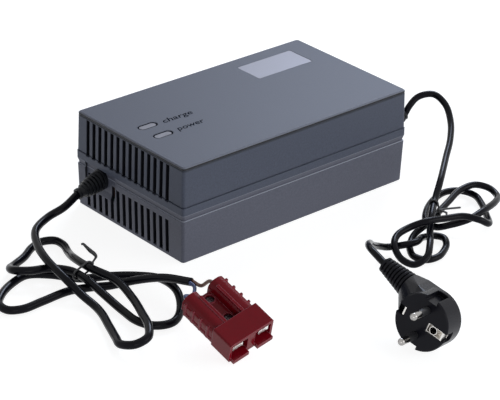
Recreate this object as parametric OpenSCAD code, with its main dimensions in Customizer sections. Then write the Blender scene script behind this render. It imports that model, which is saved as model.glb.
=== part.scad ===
// Battery charger with a vented two-part case, a mains lead with a plug and a
// direct current lead with a two-pole battery connector. Millimetres, Z up,
// origin at the middle of the underside of the case. The visible vented end
// with the battery lead faces -X, the mains lead leaves the +X end.

/* [Case] */
// Length of the case at its seam, along X
case_length = 201.5; // [150:0.5:260]
// Width of the case at its seam, along Y
case_width = 115; // [90:0.5:150]
// Height of the case from the floor to the top plate
case_height = 70; // [55:0.5:95]
// Height of the seam between the two housings
seam_height = 35.5; // [28:0.5:45]
// Radius of the upright corners
corner_radius = 2; // [1.5:0.5:10]
// Thickness of the side walls at their thinnest
wall = 2.5; // [1.5:0.1:4]
// Thickness of the bottom of the lower housing
floor_thickness = 2.5; // [1.5:0.1:4]
// Thickness of the top plate
top_thickness = 2.8; // [1.5:0.1:4]
// How far the upper walls lean in at the top, per side
top_draft = 0.9; // [0:0.1:1.5]
// How far the lower walls lean in at the bottom, per side
bottom_draft = 1; // [0:0.1:1.5]
// Height of the proud band of the upper housing above the seam
band_height = 5.5; // [3:0.5:9]
// How far the band stands proud of the upper walls
band_proud = 0.4; // [0.2:0.1:1]
// Height of the tongue that centres the upper housing on the lower
tongue_height = 2.5; // [1.5:0.5:5]
// Thickness of the tongue
tongue_thickness = 1.1; // [0.8:0.1:2]
// Gap between the tongue and the upper housing
tongue_clearance = 0.2; // [0.05:0.05:0.5]

/* [Vents] */
// Number of slots in each row of an end wall
slot_count = 14; // [8:1:18]
// Distance from slot to slot
slot_pitch = 6.55; // [5:0.05:9]
// Width of a slot
slot_width = 3.4; // [1.5:0.1:4.5]
// Y of the first slot on the battery lead's end
first_slot_y = 44.7; // [30:0.1:50]
// Bottom of the upper row
upper_slot_bottom = 40; // [37:0.5:50]
// Top of the upper row
upper_slot_top = 66.8; // [55:0.1:70]
// Bottom of the lower row
lower_slot_bottom = 2.7; // [2:0.1:8]
// Top of the lower row
lower_slot_top = 27; // [18:0.5:32]
// Top of the short slots under the lead
short_slot_top = 16; // [8:0.5:22]

/* [Leads] */
// Outer diameter of the battery lead
dc_cord_diameter = 5.5; // [4:0.1:9]
// Thickness of the ties that hold the hanks
tie_thickness = 1.4; // [1:0.1:2.5]
// Outer diameter of the mains lead
mains_cord_diameter = 4.8; // [4:0.1:9]
// Height of both leads where they leave the case
lead_height = 28; // [22:0.5:32]
// Distance of each lead from the middle of its end wall
lead_offset = 31.3; // [10:0.1:40]
// Width of the neck of a strain relief in its wall notch
neck_width = 9; // [7:0.5:12]
// Diameter of the collar and the inner flange
collar_diameter = 14.4; // [10:0.2:16]
// Gap between a neck and its notch
neck_clearance = 0.15; // [0.05:0.05:0.4]
// Distance from rib to rib on a strain relief
relief_rib_pitch = 2.5; // [2:0.25:5]
// Depth of the pocket in the lower wall around a strain relief
pocket_depth = 1.9; // [0.5:0.1:2.2]
// Width of the pocket
pocket_width = 33; // [20:0.5:40]
// Height at which the sloped bottom of the pocket starts
pocket_bottom = 16.5; // [12:0.5:19]

/* [Top] */
// Length of the opening for an indicator window
window_length = 14.2; // [8:0.1:20]
// Width of the opening for an indicator window
window_width = 5.6; // [3:0.1:9]
// X of both windows
window_x = -77.8; // [-90:0.1:-50]
// Distance of each window from the middle line
window_y = 8.3; // [6:0.1:20]
// Depth of the shallow recess around a window
window_recess = 0.6; // [0.2:0.1:1.2]
// Gap between a window and its opening
window_clearance = 0.1; // [0.05:0.05:0.3]
// Length of the name plate recess
badge_length = 50; // [30:0.5:80]
// Width of the name plate recess
badge_width = 24.5; // [12:0.5:40]
// X of the middle of the name plate
badge_x = 56.8; // [20:0.1:70]
// Y of the middle of the name plate
badge_y = 32.6; // [-40:0.1:42]
// Depth of the name plate recess
badge_recess = 0.5; // [0.2:0.1:1]
// Gap round the name plate in its recess
badge_clearance = 0.2; // [0.05:0.05:0.5]

/* [Screws and bosses] */
// Diameter of the corner bosses
boss_diameter = 10.4; // [8:0.2:14]
// Diameter of the case screws
case_screw = 3.5; // [3:0.5:5]
// Diameter of the heads of the case screws
case_screw_head = 7; // [5:0.5:9]
// Height of the ledge that carries a screw head
ledge_height = 24; // [10:0.5:30]
// Gap round a screw in its hole
screw_clearance = 0.1; // [0.05:0.05:0.4]

/* [Circuit board] */
// Length of the main board
board_length = 176; // [120:1:182]
// Width of the main board
board_width = 96; // [70:1:100]
// Thickness of the boards
board_thickness = 1.6; // [0.8:0.1:2.4]
// Height of the underside of the main board
board_height = 8; // [5:0.5:14]
// Diameter of the large capacitors
bulk_diameter = 22; // [16:1:25]
// Height of the large capacitors
bulk_height = 40; // [25:1:45]
// Width and height of the transformer core
core_size = 42; // [30:1:45]
// Height of the heat sinks
sink_height = 46; // [25:1:50]

/* [Battery connector] */
// Width of the connector housing
connector_width = 35; // [28:0.5:45]
// Length of the connector housing
connector_length = 46; // [36:0.5:60]
// Thickness of the connector housing
connector_thickness = 16; // [12:0.5:20]
// Length of the mating head of the connector
connector_head = 16.5; // [12:0.5:24]

/* [Mains plug] */
// Diameter of the face of the plug
plug_diameter = 37; // [34:0.5:40]
// Depth of the round body of the plug
plug_depth = 19; // [14:0.5:24]
// Distance between the two pins
pin_distance = 19; // [19:0.5:19]
// Diameter of the pins
pin_diameter = 4.8; // [4:0.1:5]
// Length of the pins
pin_length = 19; // [18:0.5:20]

/* [Hidden] */
tip = 0.01;
inner_length = case_length - 2 * (wall + bottom_draft);
inner_width = case_width - 2 * (wall + bottom_draft);
inner_radius = max(corner_radius - wall, 1);
tongue_radius = max(corner_radius - 1.6, 0.6);
upper_length = case_length - 2 * band_proud;
upper_width = case_width - 2 * band_proud;
top_length = case_length - 2 * top_draft;
top_width = case_width - 2 * top_draft;
base_length = case_length - 2 * bottom_draft;
base_width = case_width - 2 * bottom_draft;
band_top = seam_height + band_height;
ceiling = case_height - top_thickness;
tongue_outer = 1.6;
tongue_length = case_length - 2 * tongue_outer;
tongue_width = case_width - 2 * tongue_outer;
boss_x = inner_length / 2 - boss_diameter / 2 + 0.2;
boss_y = inner_width / 2 - boss_diameter / 2 + 0.2;
deck = board_height + board_thickness;
standoffs = [[76, 36], [-76, 36], [76, -36], [-76, -36], [-32, 42], [0, -42]];
standoff_screw = 3;
windows = [window_y, -window_y];
flange_thickness = 2.4;
flange_x = inner_length / 2;
collar_x = case_length / 2 - pocket_depth;
post_x = window_x + 11;
post_y = 14;
indicator_top = ceiling - 7;

// Where the battery lead's relief starts and ends
dc_root = [-collar_x, lead_offset, lead_height];
dc_tip = [-120, 31, 23];
// Where the mains lead's relief starts and ends
mains_root = [collar_x, -lead_offset, lead_height];
mains_tip = [125.5, -31.3, 34];

// The battery connector lies with its rear lifted by its lead
connector_turn = [20, -11, 0];
connector_place = [-140.2, -170.5, 3.8];
barrel_x = connector_width / 4 + 1.6;
barrel_z = connector_thickness / 2;

// The plug leans on the rim of its body
plug_turn = [-17.1, -11.1, 195.3];
plug_place = [-58.7, -235.5, 22];
boot_start = [-24.2, -25, 3.3];
boot_end = [-28, -48.5, 4.5];

dc_route = [
    [-120, 31, 23],
    [-134, 27, 19.5],
    [-148, 26, 17],
    [-164, 18, 16],
    [-175, 1, 15.5],
    [-182, -19, 15.2],
    [-184, -39, 12.5],
    [-182, -55, 6],
    [-182, -73, 3],
    [-190, -95, 3],
    [-196, -109, 4],
    [-200, -119, 5.5],
    [-196, -128, 8],
    [-187, -129, 10],
    [-179, -120, 11],
    [-172, -105, 10.5],
    [-164, -85, 10],
    [-160, -63, 12],
    [-164, -41, 12.8],
    [-160, -19, 9],
    [-153, -3, 4],
    [-148, 10, 3],
    [-149, 18, 3],
    [-157, 22, 3],
    [-167, 19, 3],
    [-178, 12, 3],
    [-190, 6, 4],
    [-198, 0, 6.5],
    [-200, -9, 9.5],
    [-193, -16, 10],
    [-181, -20, 9.2],
    [-172, -31, 9],
    [-171, -47, 9],
    [-171, -65, 6],
    [-171, -83, 3],
    [-172, -100, 3],
    [-167, -111, 3],
    [-156, -115, 3],
    [-144, -108, 4],
    [-135, -94, 8.5],
    [-133, -76, 9],
    [-138, -57, 5],
    [-149, -44, 3],
    [-167, -34, 3],
    [-179, -18, 3],
    [-191, -9, 3],
    [-205, -12, 3],
    [-219, -20, 3],
    [-227, -29, 3],
    [-227, -38, 3],
    [-219, -43, 3],
    [-203, -43, 3],
    [-181, -43, 3],
    [-159, -53, 3],
    [-146, -67, 9],
    [-139, -85, 16],
    [-134.5, -107, 21],
];

mains_route = [
    [125.5, -31.3, 34],
    [130, -31.5, 40],
    [138, -32, 45],
    [147, -38, 46.5],
    [148, -49, 42.5],
    [141, -62, 36],
    [127, -76, 31],
    [110, -89, 27],
    [88, -106, 23],
    [72, -117, 17],
    [57, -129, 14.5],
    [47, -138, 10],
    [34, -151, 10],
    [23, -159, 7],
    [14, -157, 4],
    [10, -149, 6],
    [13, -139, 10.5],
    [22, -132, 12.5],
    [34, -131, 14],
    [46, -136, 17],
    [61, -139, 15.5],
    [74, -143, 14.5],
    [82, -150, 12],
    [90, -151, 7],
    [103, -137, 3.5],
    [113, -123, 3],
    [119, -110, 3],
    [116, -99, 3],
    [107, -94, 3],
    [92, -97, 3],
    [76, -106, 3],
    [65, -117, 3],
    [64, -127, 3],
    [70, -135, 6],
    [81, -141, 9],
    [96, -140, 10.5],
    [115, -133, 8],
    [127, -124, 5.5],
    [129, -114, 7],
    [122, -107, 9],
    [108, -106, 8.6],
    [90, -113, 8.5],
    [73, -120, 8.5],
    [56, -127, 8.6],
    [43, -128, 5],
    [34, -133, 3],
    [27, -140, 3],
    [23, -148, 3],
    [26, -156, 3],
    [35, -158, 3],
    [45, -154, 3],
    [53, -148, 3],
    [57, -141, 3],
    [54, -135, 3],
    [47, -134, 4],
    [39, -138, 7.5],
    [30, -142, 9],
    [22, -138, 7.8],
    [16, -130, 5],
    [6, -131, 9.5],
    [-6, -137, 17],
    [-18, -147, 26.5],
    [-29, -157, 33],
    [-37, -168, 37],
    on_plug(boot_end)
];

// Both wires leave the end of the battery lead's jacket side by side
jacket_end = [-134.5, -107, 21];
wire_diameter = 2.4;
contact_bottom = connector_length - 15;

brown_route = [
    jacket_end + [1.3, 0.13, 0],
    [-134, -116, 22],
    on_connector([barrel_x, connector_length + 4, barrel_z]),
    on_connector([barrel_x, connector_length - 3, barrel_z]),
    on_connector([barrel_x, contact_bottom, barrel_z])
];

blue_route = [
    jacket_end - [1.3, 0.13, 0],
    [-136, -112, 20.3],
    [-142, -118, 19],
    on_connector([-barrel_x, connector_length + 4, barrel_z]),
    on_connector([-barrel_x, connector_length - 3, barrel_z]),
    on_connector([-barrel_x, contact_bottom, barrel_z])
];

function unit(v) = v / norm(v);
function heading(p, i) =
    i == 0 ? unit(p[1] - p[0]) :
    i == len(p) - 1 ? unit(p[i] - p[i - 1]) :
    unit(unit(p[i + 1] - p[i]) + unit(p[i] - p[i - 1]));
function headings(p, first, last) =
    [for (i = [0:len(p) - 1])
        i == 0 && !is_undef(first) ? unit(first) :
        i == len(p) - 1 && !is_undef(last) ? unit(last) :
        heading(p, i)];
function across(v, t) = unit(v - (v * t) * t);
function sides(t, i = 0, out = []) =
    i == len(t) ? out :
    sides(t, i + 1, concat(out, [across(i == 0 ? [0.13, 0.21, 0.97] : out[i - 1], t[i])]));
function ring(c, a, t, r, n) =
    [for (k = [0:n - 1]) c + r * (cos(360 * k / n) * a + sin(360 * k / n) * cross(t, a))];

function turned_x(p, a) =
    [p[0], p[1] * cos(a) - p[2] * sin(a), p[1] * sin(a) + p[2] * cos(a)];
function turned_y(p, a) =
    [p[0] * cos(a) + p[2] * sin(a), p[1], p[2] * cos(a) - p[0] * sin(a)];
function turned_z(p, a) =
    [p[0] * cos(a) - p[1] * sin(a), p[0] * sin(a) + p[1] * cos(a), p[2]];
function on_connector(p) =
    connector_place + turned_y(turned_x(p, connector_turn[0]), connector_turn[1]);
function on_plug(p) =
    plug_place + turned_z(turned_y(turned_x(p, plug_turn[0]), plug_turn[1]), plug_turn[2]);

module tube(p, d, n, first, last) {
    t = headings(p, first, last);
    a = sides(t);
    m = len(p);
    polyhedron(
        points = [for (i = [0:m - 1]) each ring(p[i], a[i], t[i], d / 2, n)],
        faces = concat(
            [[for (k = [n - 1:-1:0]) k]],
            [for (i = [0:m - 2]) for (k = [0:n - 1])
                [i * n + k, i * n + (k + 1) % n, (i + 1) * n + (k + 1) % n, (i + 1) * n + k]],
            [[for (k = [0:n - 1]) (m - 1) * n + k]]
        ),
        convexity = 12
    );
}

module outline(l, w, r) {
    square([l - 2 * r, w], center = true);
    square([l, w - 2 * r], center = true);
    for (sx = [-1, 1], sy = [-1, 1])
        translate([sx * (l / 2 - r), sy * (w / 2 - r)])
            circle(r = r, $fn = 40);
}

module slab(l, w, h, r) {
    linear_extrude(height = h)
        outline(l, w, r);
}

module leaning(l0, w0, l1, w1, h, r) {
    linear_extrude(height = h, scale = [l1 / l0, w1 / w0])
        outline(l0, w0, r);
}

module stadium(l, w, h) {
    slab(l, w, h, w / 2 - 0.001);
}

module from_to(p, q) {
    v = q - p;
    translate(p)
        rotate([0, acos(v[2] / norm(v)), atan2(v[1], v[0])])
            children();
}

module rod(p, q, d, fn = 16) {
    from_to(p, q)
        cylinder(d = d, h = norm(q - p), $fn = fn);
}

module at_both_ends() {
    children();
    rotate([0, 0, 180])
        children();
}

module corners() {
    for (sx = [-1, 1], sy = [-1, 1])
        translate([sx * boss_x, sy * boss_y, 0])
            children();
}

// A row of slots through the -X end wall
module slot_row(bottom, top, skip = []) {
    for (i = [0:slot_count - 1])
        if (len([for (k = skip) if (k == i) k]) == 0)
            translate([-case_length / 2 - 1, first_slot_y - slot_pitch * i - slot_width / 2, bottom])
                cube([wall + bottom_draft + 1.3, slot_width, top - bottom]);
}

module short_slots() {
    for (i = [1, 2, 3])
        translate([-case_length / 2 - 1, first_slot_y - slot_pitch * i - slot_width / 2, lower_slot_bottom])
            cube([wall + bottom_draft + 1.3, slot_width, short_slot_top - lower_slot_bottom]);
}

// The notch in the -X end wall for the neck of a strain relief
module neck_notch() {
    g = neck_clearance;
    translate([-case_length / 2 - 1, lead_offset, lead_height])
        rotate([0, 90, 0])
            cylinder(d = neck_width + 2 * g, h = 12, $fn = 32);
    translate([-case_length / 2 - 1, lead_offset - neck_width / 2 - g, lead_height])
        cube([12, neck_width + 2 * g, seam_height + tongue_height + 1 - lead_height]);
}

// The pocket round a strain relief, with a sloped bottom
module relief_pocket() {
    x = -case_length / 2;
    translate([0, lead_offset + pocket_width / 2, 0])
        rotate([90, 0, 0])
            linear_extrude(height = pocket_width)
                polygon([
                    [x - 2, pocket_bottom],
                    [x + 0.6, pocket_bottom],
                    [x + pocket_depth, pocket_bottom + 4],
                    [x + pocket_depth, seam_height + 1],
                    [x - 2, seam_height + 1]
                ]);
}

module upper_housing() {
    color("dimgray")
        difference() {
            union() {
                translate([0, 0, seam_height])
                    slab(case_length, case_width, band_height, corner_radius);
                translate([0, 0, band_top - 0.1])
                    slab(upper_length - 1, upper_width - 1, 0.9, corner_radius - 0.5);
                translate([0, 0, band_top + 0.7])
                    leaning(upper_length, upper_width, top_length, top_width,
                        case_height - 2.6 - band_top - 0.7, corner_radius);
                translate([0, 0, case_height - 2.7])
                    slab(top_length - 1, top_width - 1, 1, corner_radius - 0.5);
                translate([0, 0, case_height - 1.8])
                    slab(top_length, top_width, 1.2, corner_radius);
                translate([0, 0, case_height - 0.6])
                    leaning(top_length, top_width, top_length - 1.2, top_width - 1.2, 0.6, corner_radius);
            }
            difference() {
                translate([0, 0, seam_height - 1])
                    slab(inner_length, inner_width, ceiling - seam_height + 1, inner_radius);
                corners()
                    translate([0, 0, seam_height])
                        cylinder(d = boss_diameter, h = ceiling, $fn = 32);
                for (sy = [-1, 1])
                    translate([post_x, sy * post_y, indicator_top])
                        cylinder(d = 6, h = 20, $fn = 24);
            }
            difference() {
                translate([0, 0, seam_height - 1])
                    slab(tongue_length + 2 * tongue_clearance, tongue_width + 2 * tongue_clearance,
                        tongue_height + 1.3, tongue_radius);
                corners()
                    translate([0, 0, seam_height])
                        cylinder(d = boss_diameter - 2, h = ceiling, $fn = 32);
            }
            corners()
                translate([0, 0, seam_height - 1])
                    cylinder(d = case_screw + 2 * screw_clearance, h = 22, $fn = 20);
            for (sy = [-1, 1])
                translate([post_x, sy * post_y, indicator_top - 1])
                    cylinder(d = 2.5 + 2 * screw_clearance, h = 7, $fn = 16);
            at_both_ends()
                slot_row(upper_slot_bottom, upper_slot_top);
            for (y = windows) {
                translate([window_x, y, ceiling - 1])
                    stadium(window_length, window_width, 10);
                translate([window_x, y, case_height - window_recess])
                    stadium(window_length + 1.4, window_width + 1.4, 5);
            }
            translate([badge_x, badge_y, case_height - badge_recess])
                slab(badge_length, badge_width, 5, 1.5);
        }
}

module lower_housing() {
    color("slategray")
        difference() {
            union() {
                leaning(base_length - 1.4, base_width - 1.4, base_length, base_width, 0.75, corner_radius);
                translate([0, 0, 0.7])
                    leaning(base_length, base_width, case_length - 0.4, case_width - 0.4, 30.5, corner_radius);
                translate([0, 0, 31.1])
                    leaning(case_length - 0.6, case_width - 0.6, case_length - 2.8, case_width - 2.8, 0.8,
                        corner_radius);
                translate([0, 0, 31.5])
                    leaning(case_length - 2.3, case_width - 2.3, case_length, case_width,
                        seam_height - 31.5, corner_radius);
                difference() {
                    translate([0, 0, seam_height - 1])
                        slab(tongue_length, tongue_width, tongue_height + 1, tongue_radius);
                    translate([0, 0, seam_height - 2])
                        slab(tongue_length - 2 * tongue_thickness, tongue_width - 2 * tongue_thickness,
                            tongue_height + 4, max(tongue_radius - tongue_thickness, 0.4));
                    corners()
                        translate([0, 0, seam_height])
                            cylinder(d = boss_diameter + 1, h = 20, $fn = 32);
                }
            }
            difference() {
                translate([0, 0, floor_thickness])
                    slab(inner_length, inner_width, seam_height, inner_radius);
                corners()
                    cylinder(d = boss_diameter, h = seam_height, $fn = 32);
                for (p = standoffs)
                    translate([p[0], p[1], 0])
                        cylinder(d = 7, h = board_height, $fn = 24);
            }
            for (p = standoffs)
                translate([p[0], p[1], board_height - 5])
                    cylinder(d = standoff_screw + 2 * screw_clearance, h = 6, $fn = 16);
            corners() {
                translate([0, 0, -1])
                    cylinder(d = case_screw_head + 0.6, h = ledge_height + 1, $fn = 32);
                cylinder(d = case_screw + 0.8, h = 60, $fn = 20);
            }
            at_both_ends() {
                slot_row(lower_slot_bottom, lower_slot_top, [1, 2, 3]);
                short_slots();
                relief_pocket();
                neck_notch();
            }
        }
}

module badge_plate() {
    color("lightsteelblue")
        translate([badge_x, badge_y, case_height - badge_recess])
            slab(badge_length - 2 * badge_clearance, badge_width - 2 * badge_clearance, badge_recess - 0.05, 1.3);
}

module window_piece(y) {
    translate([window_x, y, ceiling - 1.2])
        stadium(window_length + 3, window_width + 3, 1.2);
    translate([window_x, y, ceiling - 1])
        stadium(window_length - 2 * window_clearance, window_width - 2 * window_clearance,
            case_height - window_recess - ceiling + 1.3);
}

module charge_window() {
    color("darkseagreen")
        window_piece(window_y);
}

module power_window() {
    color("indianred")
        window_piece(-window_y);
}

module indicator_board() {
    color("seagreen")
        difference() {
            translate([window_x + 1, 0, indicator_top - board_thickness])
                slab(32, 36, board_thickness, 1);
            for (sy = [-1, 1])
                translate([post_x, sy * post_y, indicator_top - 5])
                    cylinder(d = 2.5 + 2 * screw_clearance, h = 10, $fn = 16);
        }
}

module lamp(y) {
    translate([window_x, y, indicator_top]) {
        cylinder(d = 5.8, h = 1, $fn = 24);
        cylinder(d = 5, h = 3.2, $fn = 24);
        intersection() {
            translate([0, 0, 3.2])
                sphere(d = 5, $fn = 24);
            translate([-4, -4, 0])
                cube([8, 8, 6]);
        }
    }
}

module charge_lamp() {
    color("limegreen")
        lamp(window_y);
}

module power_lamp() {
    color("red")
        lamp(-window_y);
}

module pan_screw(d, head, head_height, length) {
    translate([0, 0, -length])
        cylinder(d = d, h = length + 0.2, $fn = 16);
    difference() {
        intersection() {
            cylinder(d = head, h = head_height, $fn = 24);
            translate([0, 0, head_height - head * 0.9])
                sphere(r = head * 0.9, $fn = 40);
        }
        for (a = [0, 90])
            rotate([0, 0, a])
                translate([-head / 3, -0.35, head_height * 0.55])
                    cube([head * 2 / 3, 0.7, head_height]);
    }
}

module indicator_screws() {
    color("silver")
        for (sy = [-1, 1])
            translate([post_x, sy * post_y, indicator_top - board_thickness])
                rotate([180, 0, 0])
                    pan_screw(2.5, 4.6, 1.8, 7);
}

module case_screws() {
    color("silver")
        corners()
            translate([0, 0, ledge_height])
                rotate([180, 0, 0])
                    pan_screw(case_screw, case_screw_head, 2.6, 22);
}

module board_screws() {
    color("silver")
        for (p = standoffs)
            translate([p[0], p[1], deck])
                pan_screw(standoff_screw, 6, 2, 6.2);
}

// Collar, neck in the wall notch and flange inside, on the -X end
module relief_root() {
    translate([-collar_x - 2.6, lead_offset, lead_height])
        rotate([0, 90, 0])
            cylinder(d = collar_diameter, h = 2.6, $fn = 40);
    translate([-collar_x - 0.1, lead_offset, lead_height])
        rotate([0, 90, 0])
            cylinder(d = neck_width, h = collar_x - flange_x + 0.3, $fn = 32);
    translate([-collar_x - 0.1, lead_offset - neck_width / 2, lead_height])
        cube([collar_x - flange_x + 0.3, neck_width, seam_height - lead_height]);
    translate([-flange_x, lead_offset, lead_height])
        rotate([0, 90, 0])
            cylinder(d = collar_diameter, h = flange_thickness, $fn = 40);
}

// The ribbed taper of a strain relief from its root to its tip
module relief_taper(root, end, d0, d1, ribs) {
    l = norm(end - root);
    from_to(root, end) {
        translate([0, 0, 1.4])
            cylinder(d1 = d0 - 2.8, d2 = d1 - 1.2, h = l - 1.4, $fn = 32);
        for (i = [0:ribs - 1])
            translate([0, 0, 2.8 + relief_rib_pitch * i])
                cylinder(d = d0 - (d0 - d1) * pow(i / ribs, 2), h = relief_rib_pitch * 0.6, $fn = 32);
        translate([0, 0, l - 2])
            cylinder(d = d1, h = 2, $fn = 32);
    }
}

module dc_strain_relief() {
    color("dimgray") {
        relief_root();
        relief_taper(dc_root, dc_tip, collar_diameter - 0.4, 8, 6);
    }
}

module mains_strain_relief() {
    color("dimgray") {
        rotate([0, 0, 180])
            relief_root();
        relief_taper(mains_root, mains_tip, collar_diameter - 1, 7, 9);
    }
}

module main_board() {
    color("seagreen")
        difference() {
            translate([0, 0, board_height])
                slab(board_length, board_width, board_thickness, 1);
            corners()
                translate([0, 0, board_height - 1])
                    cylinder(d = boss_diameter + 4, h = 5, $fn = 32);
            for (sx = [-1, 1], sy = [-1, 1])
                translate([sx * (boss_x + 10), sy * (boss_y + 10), board_height])
                    cube([20 + boss_diameter + 4, 20 + boss_diameter + 4, 10], center = true);
            for (p = standoffs)
                translate([p[0], p[1], board_height - 1])
                    cylinder(d = standoff_screw + 2 * screw_clearance, h = 5, $fn = 16);
        }
}

module fuse_clips() {
    color("silver")
        for (sx = [-1, 1])
            translate([70 + sx * 8, 20, deck]) {
                translate([-2.5, -3.4, 0])
                    cube([5, 6.8, 1]);
                for (sy = [-1, 1])
                    translate([-2.5, sy * 3.1 - 0.4, 0])
                        cube([5, 0.8, 7]);
            }
}

module fuse() {
    color("gainsboro") {
        translate([60, 20, deck + 1 + 2.6])
            rotate([0, 90, 0])
                cylinder(d = 4.6, h = 20, $fn = 24);
        for (x = [59.5, 75.5])
            translate([x, 20, deck + 1 + 2.6])
                rotate([0, 90, 0])
                    cylinder(d = 5.2, h = 5, $fn = 24);
    }
}

module choke_core() {
    color("darkslategray")
        translate([62, 0, deck + 2])
            difference() {
                cylinder(d = 26, h = 10, $fn = 48);
                translate([0, 0, -1])
                    cylinder(d = 14, h = 12, $fn = 48);
            }
}

module choke_windings() {
    color("peru")
        for (a = [0, 180])
            translate([62, 0, deck])
                rotate([0, 0, a - 65])
                    rotate_extrude(angle = 130, $fn = 48)
                        difference() {
                            translate([4.6, 0])
                                square([10.6, 14]);
                            translate([6.8, 2])
                                square([6.4, 10.2]);
                        }
}

module line_capacitor() {
    color("gold")
        translate([64, -22, deck + 9])
            cube([26, 11, 18], center = true);
}

module bridge_rectifier() {
    color("dimgray") {
        translate([38, 20, deck + 16])
            cube([5, 24, 20], center = true);
        for (i = [-1.5:1:1.5])
            translate([37.5, 20 + i * 5.8 - 0.5, deck])
                cube([1, 1, 7]);
    }
}

module bulk_capacitors() {
    color("royalblue")
        for (y = [-30, -6])
            translate([34, y, deck]) {
                cylinder(d = bulk_diameter, h = bulk_height, $fn = 40);
            }
}

module transformer_core() {
    color("darkslategray")
        difference() {
            translate([-4, -8, deck + 2 + core_size / 2])
                cube([15, core_size, core_size], center = true);
            for (sy = [-1, 1])
                translate([-4, -8 + sy * (core_size / 4 - 0.2), deck + 2 + core_size / 2])
                    cube([17, core_size / 4 - 1, core_size - 12], center = true);
        }
}

module transformer_winding() {
    color("goldenrod")
        difference() {
            union() {
                translate([-4, -8, deck + 2 + core_size / 2])
                    cube([30, core_size * 0.7, core_size - 14], center = true);
                translate([-4 - 17, -8 - 16, deck])
                    cube([34, 32, 2]);
                for (z = [deck + 2, deck + 2 + core_size])
                    translate([-4 - 12, -8 - 6, deck + 1])
                        cube([3, 12, 8]);
            }
            translate([-4, -8, deck + 2 + core_size / 2])
                difference() {
                    cube([15.4, core_size + 0.4, core_size], center = true);
                    for (sy = [-1, 1])
                        translate([0, sy * (core_size / 4 - 0.2), 0])
                            cube([17, core_size / 4 - 1.4, core_size - 12.4], center = true);
                }
        }
}

module primary_heat_sink() {
    color("lightgray") {
        translate([-20, 40, deck])
            cube([66, 2.5, sink_height]);
        for (i = [0:5])
            translate([-16 + i * 11, 42, deck + 6])
                cube([2, 5, sink_height - 6]);
    }
}

module leaded_block(x, y, side, w) {
    translate([x - w / 2, side > 0 ? y - 5 : y, deck + 12])
        cube([w, 5, 20]);
    for (i = [-1, 0, 1])
        translate([x + i * 5.4 - 0.6, (side > 0 ? y - 3 : y + 2) - 0.3, deck])
            cube([1.2, 0.8, 13]);
}

module switching_transistors() {
    color("dimgray")
        for (x = [0, 30])
            leaded_block(x, 40, 1, 16);
}

module output_heat_sink() {
    color("lightgray") {
        translate([-74 + 8, -42.5, deck])
            cube([50, 2.5, sink_height]);
        for (i = [0:4])
            translate([-63 + i * 11, -47, deck + 6])
                cube([2, 5, sink_height - 6]);
    }
}

module output_rectifiers() {
    color("dimgray")
        for (x = [-55, -30])
            leaded_block(x, -40, -1, 16);
}

module output_choke_core() {
    color("khaki")
        translate([-46, -8, deck + 2])
            difference() {
                cylinder(d = 34, h = 12, $fn = 48);
                translate([0, 0, -1])
                    cylinder(d = 19, h = 14, $fn = 48);
            }
}

module output_choke_winding() {
    color("peru")
        translate([-46, -8, deck])
            rotate([0, 0, 20])
                rotate_extrude(angle = 320, $fn = 48)
                    difference() {
                        translate([7.4, 0])
                            square([11.8, 16]);
                        translate([9.3, 2])
                            square([7.9, 12.2]);
                    }
}

module output_capacitors() {
    color("darkslateblue")
        for (p = [[-40, 24], [-58, 24], [-76, 14]])
            translate([p[0], p[1], deck])
                cylinder(d = 16, h = 30, $fn = 32);
}

module control_board() {
    color("seagreen")
        translate([-20, 16, deck])
            cube([1.6, 22, 30]);
}

module control_chip() {
    color("black")
        translate([-18.4, 22, deck + 10])
            cube([2.4, 9, 12]);
}

module optocouplers() {
    color("black")
        for (y = [22, 32])
            translate([6, y, deck])
                cube([7, 6, 4]);
}

module inner_leads(d) {
    for (s = [-1, 1]) {
        translate([-inner_length / 2 + flange_thickness, lead_offset + s * 3, lead_height])
            along_x()
                cylinder(d = d, h = 9, $fn = 16);
        translate([-inner_length / 2 + flange_thickness + 9, lead_offset + s * 3, lead_height])
            sphere(d = d + 0.4, $fn = 24);
        translate([-inner_length / 2 + flange_thickness + 9, lead_offset + s * 3, deck])
            cylinder(d = d, h = lead_height - deck, $fn = 16);
    }
}

module mains_inner_leads() {
    color("brown")
        rotate([0, 0, 180])
            inner_leads(2.4);
}

module dc_inner_leads() {
    color("darkred")
        inner_leads(2.6);
}

module dc_cord() {
    color("black")
        tube(dc_route, dc_cord_diameter, 8, first = dc_tip - dc_root, last = [0.1, -1, 0.15]);
}

module brown_wire() {
    color("saddlebrown")
        tube(brown_route, wire_diameter, 8, first = [0.1, -1, 0.15]);
}

module blue_wire() {
    color("blue")
        tube(blue_route, wire_diameter, 8, first = [0.1, -1, 0.15]);
}

module in_connector() {
    translate(connector_place)
        rotate(connector_turn)
            children();
}

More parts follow.
